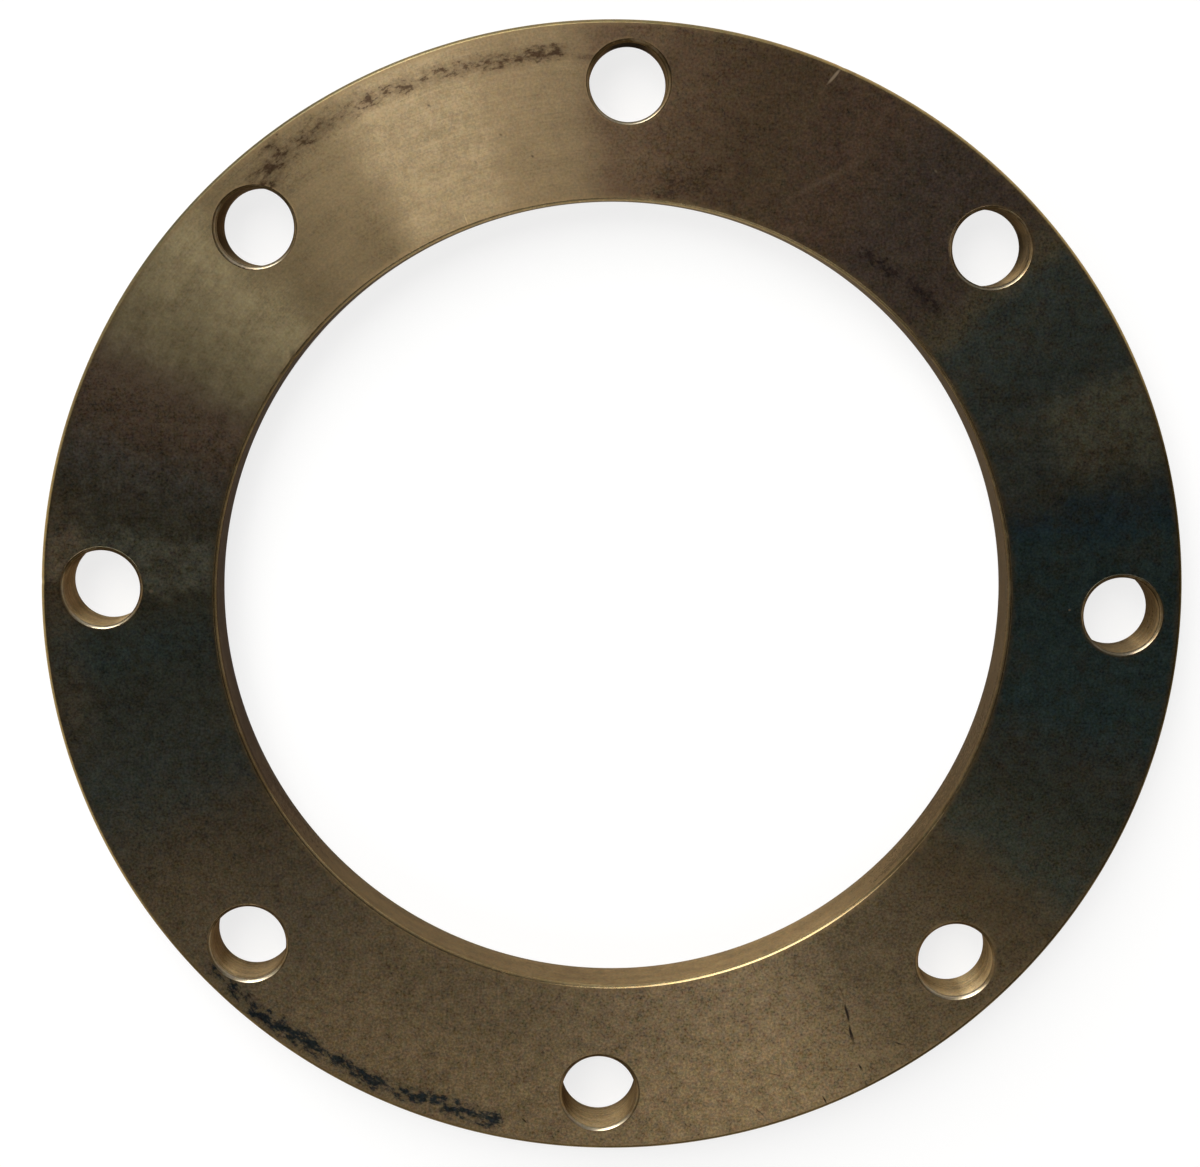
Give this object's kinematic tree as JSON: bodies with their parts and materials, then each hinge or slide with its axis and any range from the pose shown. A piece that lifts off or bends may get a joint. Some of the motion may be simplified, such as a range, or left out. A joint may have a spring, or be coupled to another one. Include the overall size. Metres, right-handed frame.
{
  "type": "buttweld flange adapter",
  "caption": "Flat steel ring with a wide straight bore for a pipe end and a circle of round bolt holes between the bore and the rim.",
  "frame": {"origin": "centre of the back face, on the axis of the bore", "axes": "+Z along the bore out of the front face, +X through the middle of one bolt hole"},
  "size_m": [0.1666, 0.1666, 0.0095],
  "materials": {
    "steel": "turned steel, darkened bronze brown by handling and storage"
  },
  "bodies": {
    "root": {"flange_ring": "steel"}
  },
  "joints": []
}
